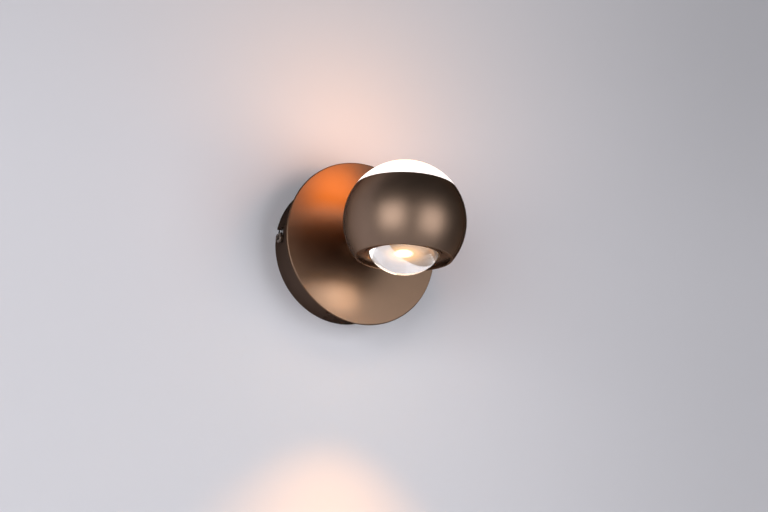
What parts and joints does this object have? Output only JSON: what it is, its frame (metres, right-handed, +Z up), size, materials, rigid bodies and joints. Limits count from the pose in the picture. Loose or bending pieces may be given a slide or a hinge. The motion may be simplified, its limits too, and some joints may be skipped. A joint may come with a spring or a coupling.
{
  "type": "up and down wall light",
  "caption": "Wall light: a painted ball with a frosted dome above and a clear lens below, on a short arm in front of a round canopy with a bayonet bracket.",
  "frame": {"origin": "middle of the wall bracket's back face, on the wall", "axes": "+Z up, +X to the right of someone facing the wall, +Y into the wall; the light stands out towards -Y"},
  "size_m": [0.12, 0.1377, 0.12],
  "materials": {
    "bronze_paint": "satin bronze-brown paint",
    "zinc_steel": "bright zinc plate",
    "side_screw_steel": "nickel plate, slightly dulled",
    "black_steel": "black oxide",
    "brass": "bright",
    "tinned_copper": "dull tin",
    "frosted_dome": "frosted acrylic",
    "clear_lens": "polished clear",
    "silicone": "soft matt",
    "bright_reflector": "bright satin",
    "cast_aluminium": "as cast",
    "board_white": "white solder mask",
    "phosphor": "yellow phosphor",
    "white_plastic": "moulded",
    "nylon": "dark nylon",
    "green_board": "green solder mask",
    "driver_black": "moulded",
    "glass_sleeve": "coated glass braid",
    "wire_brown": "insulation",
    "wire_blue": "insulation",
    "wire_green_yellow": "insulation",
    "wire_red": "insulation",
    "wire_black": "insulation",
    "wire_white": "insulation"
  },
  "bodies": {
    "bracket": {"wall_bracket": "zinc_steel", "bracket_side_screws": "side_screw_steel", "bracket_earth_washer": "brass", "bracket_earth_screw": "brass"},
    "canopy": {"canopy_drum": "bronze_paint", "front_disc": "bronze_paint", "disc_set_screws": "black_steel", "hollow_nipple": "zinc_steel", "canopy_washer": "zinc_steel", "canopy_locknut": "zinc_steel", "arm_sleeve": "bronze_paint", "outer_friction_washer": "nylon", "inner_friction_washer": "nylon", "stop_washer": "zinc_steel", "disc_spring": "black_steel", "swivel_locknut": "zinc_steel", "wire_sleeve": "glass_sleeve", "driver_case": "white_plastic", "driver_lid": "white_plastic", "driver_board": "green_board", "driver_parts": "driver_black", "driver_screws": "zinc_steel", "terminal_block": "white_plastic", "terminal_clamps": "brass", "terminal_screws": "zinc_steel", "terminal_fixing_screws": "zinc_steel", "earth_tag": "tinned_copper", "earth_tag_screw": "brass", "live_lead": "wire_brown", "neutral_lead": "wire_blue", "earth_lead": "wire_green_yellow", "led_plus_lead": "wire_red", "led_minus_lead": "wire_black"},
    "head": {"ball_band": "bronze_paint", "stop_pin": "zinc_steel", "top_dome": "frosted_dome", "lens_gasket": "silicone", "down_lens": "clear_lens", "reflector_cup": "bright_reflector", "cob_holder": "white_plastic", "cob_holder_screws": "zinc_steel", "down_led_board": "board_white", "down_led_chip": "phosphor", "heat_sink": "cast_aluminium", "heat_sink_screws": "zinc_steel", "up_led_board": "board_white", "up_leds": "phosphor", "up_board_screws": "zinc_steel", "head_plus_lead": "wire_red", "head_minus_lead": "wire_black", "head_link_lead": "wire_white"}
  },
  "joints": [
    {"name": "canopy_twist", "type": "hinge", "parent": "bracket", "child": "canopy", "pos_m": [0, 0, 0], "axis": [0, -1, 0], "range_deg": [0, 7.5]},
    {"name": "head_turn", "type": "hinge", "parent": "canopy", "child": "head", "pos_m": [0, -0.0952, 0], "axis": [0, -1, 0], "range_deg": [-170, 170]}
  ]
}
